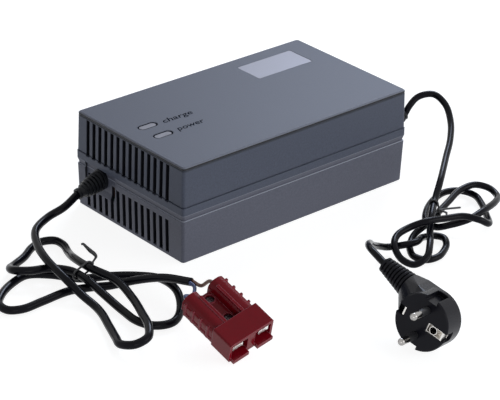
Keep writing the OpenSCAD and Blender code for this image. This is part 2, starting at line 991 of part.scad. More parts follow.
module connector_housing() {
    w = connector_width;
    l = connector_length;
    t = connector_thickness;
    h = connector_head;
    color("firebrick")
        in_connector()
            difference() {
                union() {
                    translate([0, h / 2, t / 2])
                        rotate([90, 0, 0])
                            translate([0, 0, -h / 2])
                                slab(w, t, h, 1.2);
                    for (sx = [-1, 1])
                        translate([sx * barrel_x, l / 2 + 1, t / 2])
                            rotate([90, 0, 0])
                                translate([0, 0, -l / 2 + 1])
                                    slab(12.6, t - 1, l - 2, 5.6);
                    translate([-w / 2 + 3, h - 1, 1.4])
                        cube([w - 6, l - h - 1, 7.8]);
                    for (sx = [-1, 1], i = [0:3])
                        translate([sx * (w / 2 - 1.2) - 1, h + 4.5 + i * 7, 2.2])
                            cube([2, 1.6, t - 5.4]);
                    for (sx = [-1, 1])
                        translate([sx * (w / 2 - 1.5) - 1, h - 1, 2])
                            cube([2, l - h - 2, 2.4]);
                    for (sx = [-1, 1])
                        translate([sx * (barrel_x - 3.3) - 1, h - 1, t - 2.6])
                            cube([2, l - h - 4, 2.4]);
                    translate([-w / 2 + 1.5, -3, 0.4])
                        cube([w - 3, 4, 3]);
                    for (y = [h + 5, l - 7])
                        translate([0, y, 1.4])
                            cylinder(d = 7.4, h = 8.4, $fn = 32);
                }
                for (sx = [-1, 1]) {
                    translate([sx * 9.3 - 6.4, -1, 3.4])
                        cube([12.8, 14, t - 5.8]);
                    translate([sx * barrel_x, l + 1, barrel_z])
                        rotate([90, 0, 0])
                            cylinder(d = 9.6, h = 22, $fn = 32);
                    translate([sx * barrel_x - 4.3, h - 5, t - 6])
                        cube([8.6, l - h - 10, 2.4]);
                }
                translate([-3.5, -4, -1])
                    cube([7, 4, 6]);
                for (y = [h + 5, l - 7]) {
                    translate([0, y, 7.6])
                        cylinder(d = 5.8, h = 9, $fn = 32);
                    translate([0, y, -1])
                        cylinder(d = 3.2, h = t + 2, $fn = 20);
                }
            }
}

module connector_contacts() {
    color("silver")
        in_connector()
            for (sx = [-1, 1])
                translate([sx * barrel_x, 0, 0]) {
                    translate([-4, 1.5, connector_thickness - 5.8])
                        cube([8, connector_length - 18.5, 2]);
                    translate([-4, 0.8, connector_thickness - 7.6])
                        cube([8, 3, 3]);
                    translate([0, connector_length - 4, barrel_z])
                        rotate([90, 0, 0])
                            difference() {
                                cylinder(d = 9, h = 16, $fn = 32);
                                translate([0, 0, -1])
                                    cylinder(d = 6.6, h = 12, $fn = 32);
                            }
                }
}

module connector_screws() {
    color("silver")
        in_connector()
            for (y = [connector_head + 5, connector_length - 7])
                translate([0, y, 7.6])
                    pan_screw(3, 5.4, 1.8, 7);
}

module mains_cord() {
    color("black")
        tube(mains_route, mains_cord_diameter, 8, first = mains_tip - mains_root,
            last = on_plug(boot_start) - on_plug(boot_end));
}

module in_plug() {
    translate(plug_place)
        rotate(plug_turn)
            children();
}

module along_x() {
    rotate([0, 90, 0])
        children();
}

module plug_body() {
    r = plug_diameter / 2;
    l = norm(boot_end - boot_start);
    color("black")
        in_plug()
            difference() {
                union() {
                    translate([-plug_depth + 1.5, 0, 0])
                        along_x()
                            cylinder(r = r, h = plug_depth - 2.3, $fn = 64);
                    translate([-0.9, 0, 0])
                        along_x()
                            cylinder(r1 = r, r2 = r - 0.6, h = 0.9, $fn = 64);
                    translate([-plug_depth, 0, 0])
                        along_x()
                            cylinder(r1 = r - 1, r2 = r, h = 1.6, $fn = 64);
                    hull() {
                        translate([-plug_depth - 1, -2, 0])
                            along_x()
                                cylinder(r = r - 1.4, h = plug_depth - 4, $fn = 40);
                        translate([-24, -16, -13])
                            cube([14, 3, 28]);
                        from_to(boot_start, boot_end)
                            cylinder(d = 17.4, h = 1.5, $fn = 32);
                    }
                    from_to(boot_start, boot_end) {
                        cylinder(d1 = 12, d2 = 7.4, h = l, $fn = 32);
                        for (i = [0:7])
                            translate([0, 0, 2.6 + 2.7 * i])
                                cylinder(d = 16.4 - 0.8 * i, h = 1.5, $fn = 32);
                        for (a = [55, 145, 235, 325])
                            rotate([0, 0, a])
                                translate([0, -1, 0])
                                    cube([5.2, 2, l - 0.5]);
                    }
                }
                for (s = [-1, 1]) {
                    translate([-8.5, s * (r - 2.8) - 3.3, -3.2])
                        cube([12, 6.6, 6.4]);
                    translate([-14, -4, s * (r - 0.8) - 2.4])
                        cube([16, 8, 4.8]);
                    translate([-8, 0, s * pin_distance / 2])
                        along_x()
                            cylinder(d = pin_diameter, h = 12, $fn = 24);
                }
                translate([-8.5, 4.4, -3.2])
                    cube([12, 9, 6.4]);
                translate([-14, 9, 0])
                    along_x()
                        cylinder(d = 5.2, h = 20, $fn = 24);
            }
}

module plug_pins() {
    color("silver")
        in_plug()
            for (s = [-1, 1])
                translate([0, 0, s * pin_distance / 2]) {
                    translate([-8, 0, 0])
                        along_x()
                            cylinder(d = pin_diameter - 0.9, h = pin_length + 4, $fn = 24);
                    translate([-8, 0, 0])
                        along_x()
                            cylinder(d = pin_diameter, h = 7.9, $fn = 24);
                    translate([10, 0, 0])
                        along_x()
                            cylinder(d = pin_diameter, h = pin_length - 10 - pin_diameter / 2, $fn = 24);
                    translate([pin_length - pin_diameter / 2, 0, 0])
                        sphere(d = pin_diameter, $fn = 24);
                }
}

module pin_sleeves() {
    color("black")
        in_plug()
            for (s = [-1, 1])
                translate([0, 0, s * pin_distance / 2])
                    along_x()
                        difference() {
                            cylinder(d = pin_diameter, h = 10, $fn = 24);
                            translate([0, 0, -1])
                                cylinder(d = pin_diameter - 0.8, h = 12, $fn = 24);
                        }
}

// The clip of the cord side, and the clip with its lined socket on the other
module plug_earth_clips() {
    r = plug_diameter / 2;
    color("silver")
        in_plug() {
            translate([-8.5, -r + 4.7, -2.8])
                cube([8.1, 1.2, 5.6]);
            difference() {
                union() {
                    translate([-8.5, 4.4, -3.2])
                        cube([1.2, 12, 6.4]);
                    translate([-8.5, 4.4, -3.2])
                        cube([8, 0.8, 6.4]);
                    for (s = [-1, 1])
                        translate([-8.5, 4.4, s * 2.8 - 0.4])
                            cube([7.6, 10.6, 0.8]);
                    translate([-8.5, 9, 0])
                        along_x()
                            cylinder(d = 5.6, h = 7.8, $fn = 24);
                    translate([-8.5, 15, -2.8])
                        cube([8.1, 1.2, 5.6]);
                }
                translate([-14, 9, 0])
                    along_x()
                        cylinder(d = 4.6, h = 20, $fn = 24);
            }
        }
}

// A tie that holds two strands of a cord: a loop, a knot and two ends
module tie(a, b, along, d, thick, ends) {
    x = b - a;
    u = unit(x - (x * unit(along)) * unit(along));
    v = unit(cross(unit(along), u));
    w = unit(along);
    h = norm(x);
    r = d / 2 + thick / 2 - 0.15;
    multmatrix([
        [u[0], v[0], w[0], a[0]],
        [u[1], v[1], w[1], a[1]],
        [u[2], v[2], w[2], a[2]],
        [0, 0, 0, 1]
    ]) {
        rotate([0, 0, 90])
            rotate_extrude(angle = 180, $fn = 32)
                translate([r, 0])
                    circle(d = thick, $fn = 12);
        translate([h, 0, 0])
            rotate([0, 0, -90])
                rotate_extrude(angle = 180, $fn = 32)
                    translate([r, 0])
                        circle(d = thick, $fn = 12);
        for (s = [-1, 1])
            translate([0, s * r, 0])
                along_x()
                    cylinder(d = thick, h = h, $fn = 12);
    }
    translate(ends[0][0])
        sphere(d = thick + 1.4, $fn = 16);
    for (p = ends) {
        rod(p[0], p[1], thick, 12);
        rod(p[1], p[2], thick, 12);
        translate(p[1])
            sphere(d = thick + 0.1, $fn = 16);
    }
}

module dc_cord_tie() {
    color("black")
        tie([-163.5, -38, 12.4], [-171.6, -38, 9], [0.05, 1, 0], dc_cord_diameter, tie_thickness,
            [[[-160.4, -38, 13.5], [-156.8, -38, 17], [-167, -38, 30]]]);
}

module mains_cord_tie() {
    color("black")
        tie([68, -120, 16.4], [68, -122.1, 8.5], [0.87, 0.49, 0], mains_cord_diameter, tie_thickness,
            [
                [[69.4, -123.5, 13], [72, -128.5, 12], [67, -134, 10]],
                [[69.4, -123.5, 13], [77, -125, 12], [89, -125, 9]]
            ]);
}

upper_housing();
lower_housing();
badge_plate();
charge_window();
power_window();
indicator_board();
charge_lamp();
power_lamp();
indicator_screws();
dc_strain_relief();
mains_strain_relief();
case_screws();
main_board();
board_screws();
fuse_clips();
fuse();
choke_core();
choke_windings();
line_capacitor();
bridge_rectifier();
bulk_capacitors();
transformer_core();
transformer_winding();
primary_heat_sink();
switching_transistors();
output_heat_sink();
output_rectifiers();
output_choke_core();
output_choke_winding();
output_capacitors();
control_board();
control_chip();
optocouplers();
mains_inner_leads();
dc_inner_leads();
dc_cord();
brown_wire();
blue_wire();
connector_housing();
connector_contacts();
connector_screws();
dc_cord_tie();
mains_cord();
mains_cord_tie();
plug_body();
plug_pins();
pin_sleeves();
plug_earth_clips();
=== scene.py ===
"""Looks for the battery charger: materials, cords, lettering, light and camera."""
import math

import bpy
from mathutils import Euler, Matrix, Vector


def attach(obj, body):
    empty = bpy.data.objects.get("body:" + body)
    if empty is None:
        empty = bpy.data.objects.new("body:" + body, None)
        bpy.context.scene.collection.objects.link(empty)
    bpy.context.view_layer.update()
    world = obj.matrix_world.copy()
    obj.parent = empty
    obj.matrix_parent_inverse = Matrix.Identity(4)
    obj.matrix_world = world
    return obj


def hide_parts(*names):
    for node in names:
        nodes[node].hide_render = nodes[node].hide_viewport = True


MM = 0.001
WHITE = (1, 1, 1)

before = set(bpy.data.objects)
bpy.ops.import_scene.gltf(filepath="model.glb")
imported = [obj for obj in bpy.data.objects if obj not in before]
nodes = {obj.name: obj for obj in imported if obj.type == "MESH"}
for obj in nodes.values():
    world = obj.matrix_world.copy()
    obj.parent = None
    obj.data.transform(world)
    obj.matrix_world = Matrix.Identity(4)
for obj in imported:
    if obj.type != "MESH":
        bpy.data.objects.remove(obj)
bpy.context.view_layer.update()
scene = bpy.context.scene


# ---------------------------------------------------------------- shader nodes
# Places of the colour sockets on the Mix node, whose socket names repeat for each data type
MIX_FACTOR, MIX_UNDER, MIX_OVER, MIX_COLOR = 0, 6, 7, 2


def math_node(tree, operation, *values):
    """The result of a maths node whose inputs are sockets or plain numbers."""
    node = tree.nodes.new("ShaderNodeMath")
    node.operation = operation
    for socket, value in zip(node.inputs, values):
        if isinstance(value, bpy.types.NodeSocket):
            tree.links.new(value, socket)
        else:
            socket.default_value = value
    return node.outputs["Value"]


def map_range(tree, source, start, end, low, high):
    """A number that goes from low to high while the source goes from start to end."""
    node = tree.nodes.new("ShaderNodeMapRange")
    for key, value in zip(("From Min", "From Max", "To Min", "To Max"), (start, end, low, high)):
        node.inputs[key].default_value = value
    tree.links.new(source, node.inputs["Value"])
    return node.outputs["Result"]


def one_axis(tree, source, axis):
    """One axis of a coordinate or a normal."""
    node = tree.nodes.new("ShaderNodeSeparateXYZ")
    tree.links.new(source, node.inputs["Vector"])
    return node.outputs[axis]


def scaled_color(tree, color, factor):
    """A colour times a factor that varies."""
    node = tree.nodes.new("ShaderNodeVectorMath")
    node.operation = "SCALE"
    node.inputs[0].default_value = color
    tree.links.new(factor, node.inputs["Scale"])
    return node.outputs["Vector"]


def rounded_normal(tree, radius, samples):
    """The normal of a surface whose edges are rounded off in the shading, radius in metres."""
    node = tree.nodes.new("ShaderNodeBevel")
    node.samples = samples
    node.inputs["Radius"].default_value = radius
    return node.outputs["Normal"]


# ---------------------------------------------------------------- materials
NOISE_START, NOISE_END = 0.3, 0.7   # where most values of a noise lie
NOISE_DETAIL = 3.0
COAT_ROUGHNESS = 0.15
ROUGHNESS_WANDER = 0.12             # share by which a roughness goes up and down
BEVEL_SAMPLES = 6
EDGE_SAMPLES = 8
EDGE_START, EDGE_END = 0.985, 0.80  # cosines at which the painted edge highlight starts and is strongest


def grain(tree, scale, strength, depth, bevel):
    """Fine moulded grain in the piece's own coordinates: its noise and the normal it gives."""
    coord = tree.nodes.new("ShaderNodeTexCoord")
    noise = tree.nodes.new("ShaderNodeTexNoise")
    noise.inputs["Scale"].default_value = scale
    noise.inputs["Detail"].default_value = NOISE_DETAIL
    tree.links.new(coord.outputs["Object"], noise.inputs["Vector"])
    bump = tree.nodes.new("ShaderNodeBump")
    bump.inputs["Strength"].default_value = strength
    bump.inputs["Distance"].default_value = depth
    tree.links.new(noise.outputs["Fac"], bump.inputs["Height"])
    if bevel:
        tree.links.new(rounded_normal(tree, bevel, BEVEL_SAMPLES), bump.inputs["Normal"])
    return noise.outputs["Fac"], bump.outputs["Normal"]


def material(name, color, rough=0.5, metallic=0.0, spec=0.5, coat=0.0, bevel=0.0,
             noise=(160, 0.04, 0.0001), mottle=0.05):
    """A procedural material: grain, a mottled colour, wandering roughness and rounded edges.

    noise is the grain's scale, strength and depth, and mottle the colour's share up and down.
    """
    mat = bpy.data.materials.new(name)
    mat.use_nodes = True
    mat.diffuse_color = (*color, 1)
    tree = mat.node_tree
    inputs = tree.nodes["Principled BSDF"].inputs
    inputs["Metallic"].default_value = metallic
    inputs["Specular IOR Level"].default_value = spec
    inputs["Coat Weight"].default_value = coat
    inputs["Coat Roughness"].default_value = COAT_ROUGHNESS
    field, normal = grain(tree, *noise, bevel)

    def spread(middle, share):
        return map_range(tree, field, NOISE_START, NOISE_END,
                         middle * (1 - share), middle * (1 + share))

    tree.links.new(normal, inputs["Normal"])
    tree.links.new(spread(rough, ROUGHNESS_WANDER), inputs["Roughness"])
    tree.links.new(scaled_color(tree, color, spread(1, mottle)), inputs["Base Color"])
    return mat


def overlay(mat, share, color):
    """Blend a colour over a material's own one, by a share from 0 to 1."""
    tree = mat.node_tree
    base = tree.nodes["Principled BSDF"].inputs["Base Color"]
    blend = tree.nodes.new("ShaderNodeMix")
    blend.data_type = "RGBA"
    blend.inputs[MIX_OVER].default_value = (*color, 1)
    tree.links.new(share, blend.inputs[MIX_FACTOR])
    tree.links.new(base.links[0].from_socket, blend.inputs[MIX_UNDER])
    tree.links.new(blend.outputs[MIX_COLOR], base)


def paint_light_band(mat, low, high, color, weight):
    """Paint light or shade between two heights, in millimetres of the piece's own frame."""
    tree = mat.node_tree
    coord = tree.nodes.new("ShaderNodeTexCoord")
    height = one_axis(tree, coord.outputs["Object"], "Z")
    inside = math_node(tree, "COMPARE", height, (low + high) / 2 * MM, (high - low) / 2 * MM)
    overlay(mat, math_node(tree, "MULTIPLY", inside, weight), color)


def paint_slot_shade(mat, end, half_width, facing, color):
    """Paint shade on the cheeks of the vent slots: faces near an end wall that look along Y."""
    tree = mat.node_tree
    coord = tree.nodes.new("ShaderNodeTexCoord")

    def test(source, axis, operation, limit):
        size = math_node(tree, "ABSOLUTE", one_axis(tree, coord.outputs[source], axis))
        return math_node(tree, operation, size, limit)

    cheek = math_node(tree, "MULTIPLY", test("Normal", "Y", "GREATER_THAN", facing),
                      test("Object", "X", "GREATER_THAN", end * MM))
    within = test("Object", "Y", "LESS_THAN", half_width * MM)
    overlay(mat, math_node(tree, "MULTIPLY", cheek, within), color)


def paint_edge_highlights(mat, radius, color, weight):
    """Paint highlights where a surface turns: the rounded normal leaves the flat one there."""
    tree = mat.node_tree
    geometry = tree.nodes.new("ShaderNodeNewGeometry")
    likeness = tree.nodes.new("ShaderNodeVectorMath")
    likeness.operation = "DOT_PRODUCT"
    tree.links.new(geometry.outputs["True Normal"], likeness.inputs[0])
    tree.links.new(rounded_normal(tree, radius, EDGE_SAMPLES), likeness.inputs[1])
    share = map_range(tree, likeness.outputs["Value"], EDGE_START, EDGE_END, 0.0, weight)
    overlay(mat, share, color)


CASE_FINISH = {"noise": (900, 0.35, 0.0002), "mottle": 0.14, "bevel": 0.0008}
CASE_UPPER = material("case_upper", (0.066, 0.076, 0.106), 0.50, spec=0.33, **CASE_FINISH)
# Lighter than the upper housing: painted light for what the floor throws up on the lower housing
CASE_LOWER_FLOOR_LIT = material("case_lower_floor_lit", (0.100, 0.104, 0.132), 0.50, spec=0.32, **CASE_FINISH)
CORD = material("cord", (0.005, 0.005, 0.008), 0.20, spec=0.09)
RELIEF = material("relief", (0.010, 0.011, 0.014), 0.40, spec=0.2, bevel=0.0003)
PLUG = material("plug", (0.010, 0.010, 0.014), 0.24, spec=0.11, bevel=0.0006)
RED = material("connector_red", (0.205, 0.0035, 0.010), 0.20, spec=0.12, bevel=0.0006)
DARK_STEEL = material("dark_screw", (0.05, 0.03, 0.035), 0.4, metallic=0.5)
STEEL = material("plated_steel", (0.66, 0.66, 0.68), 0.28, metallic=1.0, bevel=0.0002)
SILVER = material("silver_plate", (0.86, 0.85, 0.82), 0.25, metallic=1.0, bevel=0.0003)
NICKEL = material("nickel_plate", (0.72, 0.70, 0.67), 0.22, metallic=1.0, bevel=0.0003)
# Darker than the plating is: painted shade for the dark surroundings that the pins reflect
PIN = material("plug_pin", (0.36, 0.35, 0.34), 0.12, metallic=1.0, bevel=0.0003)
FOIL = material("foil", (0.22, 0.22, 0.25), 0.40, metallic=0.3, noise=(2500, 0.15, 0.0001))
WINDOW = material("window", (0.22, 0.22, 0.26), 0.30, bevel=0.0003)
BOARD = material("laminate", (0.03, 0.16, 0.06), 0.4, noise=(900, 0.1, 0.0001))
BLACK = material("black_moulding", (0.02, 0.02, 0.022), 0.45, bevel=0.0003)
FERRITE = material("ferrite", (0.035, 0.035, 0.04), 0.6, bevel=0.0003)
COPPER = material("enamelled_copper", (0.55, 0.20, 0.07), 0.3, metallic=0.9,
                  noise=(1200, 0.5, 0.0004))
TAPE = material("yellow_tape", (0.70, 0.50, 0.06), 0.35)
YELLOW = material("yellow_moulding", (0.70, 0.50, 0.07), 0.3, bevel=0.0004)
SLEEVE_BLUE = material("blue_sleeve", (0.02, 0.05, 0.22), 0.25)
SLEEVE_BLACK = material("black_sleeve", (0.02, 0.02, 0.028), 0.25)
ALUMINIUM = material("aluminium", (0.72, 0.73, 0.75), 0.35, metallic=1.0)
GLASS = material("fuse_glass", (0.80, 0.83, 0.85), 0.08, spec=0.7)
GREEN_LAMP = material("green_lamp", (0.04, 0.35, 0.06), 0.2, coat=0.4)
RED_LAMP = material("red_lamp", (0.45, 0.03, 0.03), 0.2, coat=0.4)
KHAKI = material("coated_core", (0.60, 0.52, 0.10), 0.45)
BROWN = material("brown_insulation", (0.16, 0.06, 0.03), 0.4)
BLUE = material("blue_insulation", (0.012, 0.035, 0.15), 0.4)
# Print colour of the words, used also as painted shade round the windows
INK_AND_SHADE = material("ink", (0.016, 0.018, 0.026), 1.0, spec=0.0)

# Painted highlights on the edges at the lower shoulder and at the seam, thinner than a pixel of
# the photo
paint_light_band(CASE_LOWER_FLOOR_LIT, 31.15, 31.5, (0.42, 0.44, 0.50), 0.9)
paint_light_band(CASE_LOWER_FLOOR_LIT, 35.15, 35.55, (0.34, 0.36, 0.42), 0.6)
# Painted half shade, painted full shade and a painted highlight on the rim at the lip under the
# top plate
paint_light_band(CASE_UPPER, 66.6, 68.3, (0.040, 0.045, 0.060), 0.6)
paint_light_band(CASE_UPPER, 68.0, 69.3, (0.003, 0.004, 0.006), 1.0)
paint_light_band(CASE_UPPER, 69.3, 69.95, (0.22, 0.23, 0.27), 0.8)
# Painted shade on the cheeks of the vent slots of both housings
for housing in (CASE_UPPER, CASE_LOWER_FLOOR_LIT):
    paint_slot_shade(housing, end=97.0, half_width=53.0, facing=0.8, color=(0.006, 0.007, 0.011))
# Painted highlights on the connector's edges and ridges
paint_edge_highlights(RED, 0.0007, (0.62, 0.16, 0.20), 0.75)

LOOK = {
    "upper_housing": CASE_UPPER, "lower_housing": CASE_LOWER_FLOOR_LIT, "badge_plate": FOIL,
    "charge_window": WINDOW, "power_window": WINDOW, "indicator_board": BOARD,
    "charge_lamp": GREEN_LAMP, "power_lamp": RED_LAMP, "indicator_screws": STEEL,
    "dc_strain_relief": RELIEF, "mains_strain_relief": RELIEF, "case_screws": STEEL,
    "main_board": BOARD, "board_screws": STEEL, "fuse_clips": STEEL, "fuse": GLASS,
    "choke_core": FERRITE, "choke_windings": COPPER, "line_capacitor": YELLOW,
    "bridge_rectifier": BLACK, "bulk_capacitors": SLEEVE_BLUE, "transformer_core": FERRITE,
    "transformer_winding": TAPE, "primary_heat_sink": ALUMINIUM, "switching_transistors": BLACK,
    "output_heat_sink": ALUMINIUM, "output_rectifiers": BLACK, "output_choke_core": KHAKI,
    "output_choke_winding": COPPER, "output_capacitors": SLEEVE_BLACK, "control_board": BOARD,
    "control_chip": BLACK, "optocouplers": BLACK, "mains_inner_leads": BROWN,
    "dc_inner_leads": BROWN, "dc_cord": CORD, "mains_cord": CORD, "brown_wire": BROWN,
    "blue_wire": BLUE, "connector_housing": RED, "connector_contacts": SILVER,
    "connector_screws": DARK_STEEL, "plug_body": PLUG, "plug_pins": PIN, "pin_sleeves": BLACK,
    "plug_earth_clips": NICKEL, "dc_cord_tie": BLACK, "mains_cord_tie": BLACK,
}
for name, obj in nodes.items():
    obj.data.materials.clear()
    obj.data.materials.append(LOOK[name])

# ---------------------------------------------------------------- cords
# Sizes and routes are in millimetres, the angles of the connector and the plug in degrees
DC_DIAMETER = 5.5
MAINS_DIAMETER = 4.8
WIRE_DIAMETER = 2.4
TIE_DIAMETER = 1.9
CORD_LIFT = 0.1                     # gap under a strand that lies on the floor
STEPS = 7                           # straight steps between two points of a route
CONNECTOR_PLACE, CONNECTOR_TURN = (-140.2, -170.5, 3.8), (20, -11, 0)
CONTACT_X, CONTACT_Z = 10.35, 8     # axis of a contact in the connector's own frame
OUTSIDE, OPENING, CONTACT_END = 50, 43, 31  # places along that axis that its wire runs through
PLUG_PLACE, PLUG_TURN = (-58.7, -235.5, 22), (-17.1, -11.1, 195.3)
PLUG_BOOT_END = (-28, -48.5, 4.5)   # end of the bend relief in the plug's own frame


def turned(place, angles, point):
    """A point of the connector's or the plug's own frame, in the part's frame."""
    turn = Euler([math.radians(a) for a in angles], "XYZ")
    return tuple(Vector(place) + turn.to_matrix() @ Vector(point))


def into_connector(side):
    """The last points of a wire, through a rear opening of the connector to its contact."""
    return [turned(CONNECTOR_PLACE, CONNECTOR_TURN, (side * CONTACT_X, y, CONTACT_Z))
            for y in (OUTSIDE, OPENING, CONTACT_END)]


DC_ROUTE = [
    (-120, 31, 23), (-134, 27, 19.5), (-148, 26, 17), (-164, 18, 16), (-175, 1, 15.5),
    (-182, -19, 15.2), (-184, -39, 12.5), (-182, -55, 6), (-182, -73, 3), (-190, -95, 3),
    (-196, -109, 4), (-200, -119, 5.5), (-196, -128, 8), (-187, -129, 10), (-179, -120, 11),
    (-172, -105, 10.5), (-164, -85, 10), (-160, -63, 12), (-164, -41, 12.8), (-160, -19, 9),
    (-153, -3, 4), (-148, 10, 3), (-149, 18, 3), (-157, 22, 3), (-167, 19, 3), (-178, 12, 3),
    (-190, 6, 4), (-198, 0, 6.5), (-200, -9, 9.5), (-193, -16, 10), (-181, -20, 9.2),
    (-172, -31, 9), (-171, -47, 9), (-171, -65, 6), (-171, -83, 3), (-172, -100, 3),
    (-167, -111, 3), (-156, -115, 3), (-144, -108, 4), (-135, -94, 8.5), (-133, -76, 9),
    (-138, -57, 5), (-149, -44, 3), (-167, -34, 3), (-179, -18, 3), (-191, -9, 3),
    (-205, -12, 3), (-219, -20, 3), (-227, -29, 3), (-227, -38, 3), (-219, -43, 3),
    (-203, -43, 3), (-181, -43, 3), (-159, -53, 3), (-146, -67, 9), (-139, -85, 16),
    (-134.5, -107, 21),
]
MAINS_ROUTE = [
    (125.5, -31.3, 34), (130, -31.5, 40), (138, -32, 45), (147, -38, 46.5), (148, -49, 42.5),
    (141, -62, 36), (127, -76, 31), (110, -89, 27), (88, -106, 23), (72, -117, 17),
    (57, -129, 14.5), (47, -138, 10), (34, -151, 10), (23, -159, 7), (14, -157, 4),
    (10, -149, 6), (13, -139, 10.5), (22, -132, 12.5), (34, -131, 14), (46, -136, 17),
    (61, -139, 15.5), (74, -143, 14.5), (82, -150, 12), (90, -151, 7), (103, -137, 3.5),
    (113, -123, 3), (119, -110, 3), (116, -99, 3), (107, -94, 3), (92, -97, 3), (76, -106, 3),
    (65, -117, 3), (64, -127, 3), (70, -135, 6), (81, -141, 9), (96, -140, 10.5),
    (115, -133, 8), (127, -124, 5.5), (129, -114, 7), (122, -107, 9), (108, -106, 8.6),
    (90, -113, 8.5), (73, -120, 8.5), (56, -127, 8.6), (43, -128, 5), (34, -133, 3),
    (27, -140, 3), (23, -148, 3), (26, -156, 3), (35, -158, 3), (45, -154, 3), (53, -148, 3),
    (57, -141, 3), (54, -135, 3), (47, -134, 4), (39, -138, 7.5), (30, -142, 9),
    (22, -138, 7.8), (16, -130, 5), (6, -131, 9.5), (-6, -137, 17), (-18, -147, 26.5),
    (-29, -157, 33), (-37, -168, 37), turned(PLUG_PLACE, PLUG_TURN, PLUG_BOOT_END),
]
BROWN_ROUTE = [(-133.2, -106.87, 21), (-134, -116, 22), *into_connector(1)]
BLUE_ROUTE = [
    (-135.8, -107.13, 21), (-136, -112, 20.3), (-142, -118, 19), *into_connector(-1),
]
# The upright end of the tie is a broad twisted strip that narrows to its tip
TIE_ROUTE = [
    (-157.6, -38, 16.2), (-156.9, -38, 17.6), (-158.3, -38, 19.8), (-161.4, -38, 23.1),
    (-164.6, -38, 27), (-167.2, -38, 30.1), (-168.3, -38, 30.2),
]
TIE_WIDTHS = (0.8, 0.95, 1.35, 1.4, 1.05, 0.85, 0.8)


def smooth(points, floor):
    """Centripetal Catmull-Rom line through the points, in metres and not under the floor."""
    p = [Vector(q) * MM for q in points]
    p = [2 * p[0] - p[1]] + p + [2 * p[-1] - p[-2]]
    line = []
    for i in range(1, len(p) - 2):
        p0, p1, p2, p3 = p[i - 1:i + 3]
        t1 = (p1 - p0).length ** 0.5
        t2 = t1 + (p2 - p1).length ** 0.5
        t3 = t2 + (p3 - p2).length ** 0.5
        for k in range(STEPS):
            t = t1 + (t2 - t1) * k / STEPS
            a1 = p0 * ((t1 - t) / t1) + p1 * (t / t1)
            a2 = p1 * ((t2 - t) / (t2 - t1)) + p2 * ((t - t1) / (t2 - t1))
            a3 = p2 * ((t3 - t) / (t3 - t2)) + p3 * ((t - t2) / (t3 - t2))
            b1 = a1 * ((t2 - t) / t2) + a2 * (t / t2)
            b2 = a2 * ((t3 - t) / (t3 - t1)) + a3 * ((t - t1) / (t3 - t1))
            line.append(b1 * ((t2 - t) / (t2 - t1)) + b2 * ((t - t1) / (t2 - t1)))
    line.append(p[-2])
    for q in line:
        q.z = max(q.z, floor)
    return line


def tube(name, points, diameter, mat, widths=None):
    """A smooth round tube through the points. widths scales its radius at each of them."""
    line = smooth(points, diameter * MM / 2 + CORD_LIFT * MM)
    data = bpy.data.curves.new(name, "CURVE")
    data.dimensions = "3D"
    data.bevel_depth = diameter * MM / 2
    data.bevel_resolution = 5
    data.use_fill_caps = True
    spline = data.splines.new("POLY")
    spline.points.add(len(line) - 1)
    for point, place in zip(spline.points, line):
        point.co = (*place, 1)
    if widths:
        for i, point in enumerate(spline.points):
            before, step = divmod(i, STEPS)
            width, following = widths[before], widths[min(before + 1, len(widths) - 1)]
            point.radius = width + (following - width) * step / STEPS
    spline.use_smooth = True
    data.materials.append(mat)
    obj = bpy.data.objects.new(name, data)
    scene.collection.objects.link(obj)
    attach(obj, "root")
    return obj, line


def stand_in(name, node, points, diameter, mat):
    """A smooth tube in the place of a node's straight steps."""
    obj, line = tube(name, points, diameter, mat)
    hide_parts(node)
    return obj, line


def cord(name, node, points, diameter, far_end, *companions):
    obj, line = stand_in(name, node, points, diameter, CORD)


cord("dc_lead", "dc_cord", DC_ROUTE, DC_DIAMETER, "connector",
     "connector_housing", "connector_contacts", "connector_screws", "brown_wire", "blue_wire",
     "dc_strain_relief", "dc_cord_tie")
stand_in("brown_lead", "brown_wire", BROWN_ROUTE, WIRE_DIAMETER, BROWN)
stand_in("blue_lead", "blue_wire", BLUE_ROUTE, WIRE_DIAMETER, BLUE)
tube("dc_tie_end", TIE_ROUTE, TIE_DIAMETER, BLACK, TIE_WIDTHS)
cord("mains_lead", "mains_cord", MAINS_ROUTE, MAINS_DIAMETER, "plug",
     "plug_body", "plug_pins", "pin_sleeves", "plug_earth_clips", "mains_strain_relief",
     "mains_cord_tie")

# ---------------------------------------------------------------- lettering, and painted shade round the windows
# Sizes, places and levels are in millimetres
WORD_HEIGHT = 7.9                   # font size of the words
WORD_LEVEL = 70.02                  # just over the top plate
WORD_SLANT = 0.25
STROKE_GAIN = 0.012                 # thickens the strokes, as a share of the font size
GAP_LEVEL = 69.74                   # just over the tops of the windows
GAP_INNER, GAP_OUTER = (13.2, 4.9), (15.4, 6.8)  # length and width
WINDOW_X, WINDOW_Y = -77.8, 8.3
ARC_STEPS = 16                      # straight steps round each end of a window


def print_or_shade_piece(mesh):
    """A flat piece in the ink colour from a mesh, with the mesh's name: print or painted shade.
    """
    mesh.materials.clear()
    mesh.materials.append(INK_AND_SHADE)
    obj = bpy.data.objects.new(mesh.name, mesh)
    scene.collection.objects.link(obj)
    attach(obj, "root")


def word(text, x, y, width):
    """A generic function word in flat ink on the top plate, reading along +X."""
    data = bpy.data.curves.new("word_" + text, "FONT")
    data.body = text
    data.shear = WORD_SLANT
    data.offset = STROKE_GAIN
    data.resolution_u = 3
    letters = bpy.data.objects.new("letters", data)
    scene.collection.objects.link(letters)
    bpy.context.view_layer.update()
    xs = [corner[0] for corner in letters.bound_box]
    stretch = width * MM / (max(xs) - min(xs))
    deps = bpy.context.evaluated_depsgraph_get()
    mesh = bpy.data.meshes.new_from_object(letters.evaluated_get(deps))
    bpy.data.objects.remove(letters)
    for v in mesh.vertices:
        v.co = Vector(((v.co.x - min(xs)) * stretch + x * MM,
                       (v.co.y * WORD_HEIGHT + y) * MM, WORD_LEVEL * MM))
    mesh.name = "word_" + text
    print_or_shade_piece(mesh)


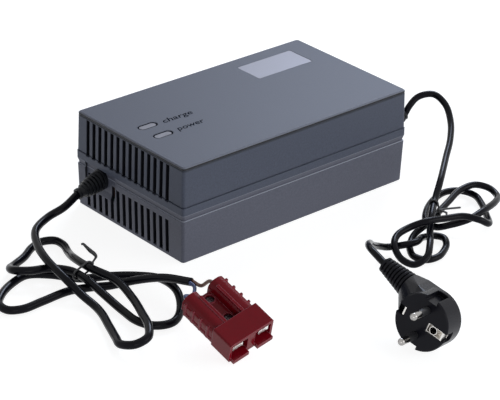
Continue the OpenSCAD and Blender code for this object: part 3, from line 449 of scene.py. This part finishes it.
def stadium(length, width):
    """Outline of a slot with round ends, centred on the origin, in millimetres."""
    r = width / 2
    points = []
    for end in (1, -1):
        for i in range(ARC_STEPS + 1):
            a = math.pi * (i / ARC_STEPS - 0.5) + (0 if end > 0 else math.pi)
            points.append((end * (length / 2 - r) + r * math.cos(a), r * math.sin(a)))
    return points


def painted_window_shade(name, x, y):
    """Painted shade in the gap all round an indicator window, as a thin dark flat ring."""
    inner, outer = stadium(*GAP_INNER), stadium(*GAP_OUTER)
    n = len(inner)
    verts = [((x + px) * MM, (y + py) * MM, GAP_LEVEL * MM) for px, py in inner + outer]
    faces = [(i, n + i, n + (i + 1) % n, (i + 1) % n) for i in range(n)]
    mesh = bpy.data.meshes.new(name)
    mesh.from_pydata(verts, [], faces)
    print_or_shade_piece(mesh)


word("charge", -65.8, 4.9, 25.4)
word("power", -66.3, -10.3, 23.8)
# Painted shade in the gaps round the two windows
painted_window_shade("charge_window_gap", WINDOW_X, WINDOW_Y)
painted_window_shade("power_window_gap", WINDOW_X, -WINDOW_Y)

# ---------------------------------------------------------------- light and floor
SKY_TINT = (0.93, 0.98, 1.10)
SKY_SIDE = (0.8, -0.2, 0)           # the sky brightens towards this side
# Where each change of the sky starts and ends, and its brightness there
SKY_SIDEWAYS = (-0.62, 0.62, 0.04, 1.0)
SKY_OVERHEAD = (0.5, 0.92, 1.0, 0.2)
FLOOR_REACH = 4                     # metres
FLOOR_DROP = 0.0002                 # metres, keeps the floor clear of the base
FLOOR_LIGHT = (0.48, 0.51, 0.58, 1)  # what the floor throws back on the object
FLOOR_GLOW = 0.88                   # what makes the floor white where it is looked at
FLOOR_MATT = (0.4, 0.4, 0.38, 1)    # what takes the object's shadow


def seen_or_lit(tree, output, seen, lit):
    """One shader for the rays that meet the white background, another for those that light.

    The first are camera, glossy and transmission rays.
    """
    rays = tree.nodes.new("ShaderNodeLightPath")
    background = rays.outputs["Is Camera Ray"]
    for kind in ("Is Glossy Ray", "Is Transmission Ray"):
        background = math_node(tree, "MAXIMUM", background, rays.outputs[kind])
    mix = tree.nodes.new("ShaderNodeMixShader")
    tree.links.new(background, mix.inputs["Fac"])
    tree.links.new(lit, mix.inputs[1])
    tree.links.new(seen, mix.inputs[2])
    end = tree.nodes.new(output)
    tree.links.new(mix.outputs["Shader"], end.inputs["Surface"])


def add_world():
    """White behind the object, and light from the right but not from the left or above."""
    world = bpy.data.worlds.new("white")
    scene.world = world
    world.use_nodes = True
    tree = world.node_tree
    tree.nodes.clear()
    direction = tree.nodes.new("ShaderNodeTexCoord").outputs["Generated"]
    lean = tree.nodes.new("ShaderNodeVectorMath")
    lean.operation = "DOT_PRODUCT"
    lean.inputs[1].default_value = SKY_SIDE
    tree.links.new(direction, lean.inputs[0])
    sideways = map_range(tree, lean.outputs["Value"], *SKY_SIDEWAYS)
    overhead = map_range(tree, one_axis(tree, direction, "Z"), *SKY_OVERHEAD)
    sky = tree.nodes.new("ShaderNodeBackground")
    brightness = math_node(tree, "MULTIPLY", sideways, overhead)
    tree.links.new(scaled_color(tree, SKY_TINT, brightness), sky.inputs["Color"])
    seen = tree.nodes.new("ShaderNodeBackground")
    seen.inputs["Color"].default_value = (*WHITE, 1)
    seen_or_lit(tree, "ShaderNodeOutputWorld",
                seen.outputs["Background"], sky.outputs["Background"])


def add_area(name, where, aim, size, power, color=WHITE):
    """A rectangular light, in metres and watts."""
    data = bpy.data.lights.new(name, "AREA")
    data.shape = "RECTANGLE"
    data.size, data.size_y = size
    data.energy = power
    data.color = color
    obj = bpy.data.objects.new(name, data)
    obj.location = where
    obj.rotation_euler = (Vector(aim) - Vector(where)).to_track_quat("-Z", "Y").to_euler()
    scene.collection.objects.link(obj)


def add_floor():
    """A plain white floor that keeps the object's shadow."""
    mat = bpy.data.materials.new("floor_white")
    mat.use_nodes = True
    tree = mat.node_tree
    tree.nodes.clear()
    lit = tree.nodes.new("ShaderNodeEmission")
    lit.inputs["Color"].default_value = FLOOR_LIGHT
    glow = tree.nodes.new("ShaderNodeEmission")
    glow.inputs["Color"].default_value = (*WHITE, 1)
    glow.inputs["Strength"].default_value = FLOOR_GLOW
    matt = tree.nodes.new("ShaderNodeBsdfDiffuse")
    matt.inputs["Color"].default_value = FLOOR_MATT
    seen = tree.nodes.new("ShaderNodeAddShader")
    tree.links.new(glow.outputs["Emission"], seen.inputs[0])
    tree.links.new(matt.outputs["BSDF"], seen.inputs[1])
    seen_or_lit(tree, "ShaderNodeOutputMaterial",
                seen.outputs["Shader"], lit.outputs["Emission"])
    mesh = bpy.data.meshes.new("floor")
    corners = [(x * FLOOR_REACH, y * FLOOR_REACH, 0)
               for x, y in ((-1, -1), (1, -1), (1, 1), (-1, 1))]
    mesh.from_pydata(corners, [], [(0, 1, 2, 3)])
    mesh.materials.append(mat)
    floor = bpy.data.objects.new("floor", mesh)
    floor.location.z = -FLOOR_DROP
    scene.collection.objects.link(floor)


add_world()
add_area("back_light", where=(0.88, 0.60, 0.92), aim=(0.03, 0, 0.05), size=(0.5, 0.5),
         power=7.5, color=(0.86, 0.97, 1.22))
add_area("left_light", where=(-0.95, 0.10, 0.30), aim=(-0.10, 0, 0.04), size=(0.9, 0.25),
         power=0.25, color=(0.92, 0.98, 1.10))
add_area("near_light", where=(-0.45, -0.52, 0.10), aim=(-0.12, -0.19, 0.01),
         size=(0.25, 0.2), power=0.25)
add_area("front_light", where=(0.7, -1.3, 0.5), aim=(0, 0, 0.03), size=(1.0, 0.6), power=4.4)
add_floor()

# ---------------------------------------------------------------- camera
# Fitted to the case's edges and the plug in the photo
YAW, PITCH, ROLL = (math.radians(angle) for angle in (41.43, 27.13, -1.353))
FOCAL_PIXELS, PHOTO_WIDTH = 2272.5, 500
SENSOR_WIDTH = 36.0
ORIGIN_SEEN = Vector((-5.565, -6.255, 1588.75)) * MM  # from the camera: right, down, ahead


def add_camera():
    """The photo's camera. Yaw turns it from +Y towards +X, pitch tips it down."""
    forward = Vector((math.sin(YAW) * math.cos(PITCH), math.cos(YAW) * math.cos(PITCH),
                      -math.sin(PITCH)))
    level = Vector((math.cos(YAW), -math.sin(YAW), 0))
    plumb = forward.cross(level)
    right = level * math.cos(ROLL) + plumb * math.sin(ROLL)
    down = plumb * math.cos(ROLL) - level * math.sin(ROLL)
    place = -(right * ORIGIN_SEEN.x + down * ORIGIN_SEEN.y + forward * ORIGIN_SEEN.z)
    data = bpy.data.cameras.new("camera")
    data.sensor_fit = "HORIZONTAL"
    data.sensor_width = SENSOR_WIDTH
    data.lens = SENSOR_WIDTH * FOCAL_PIXELS / PHOTO_WIDTH
    data.clip_start, data.clip_end = 0.05, 50
    camera = bpy.data.objects.new("camera", data)
    camera.matrix_world = Matrix((
        (right.x, -down.x, -forward.x, place.x),
        (right.y, -down.y, -forward.y, place.y),
        (right.z, -down.z, -forward.z, place.z),
        (0, 0, 0, 1),
    ))
    scene.collection.objects.link(camera)
    return camera


bpy.context.scene.camera = add_camera()
scene.view_settings.view_transform = "Standard"
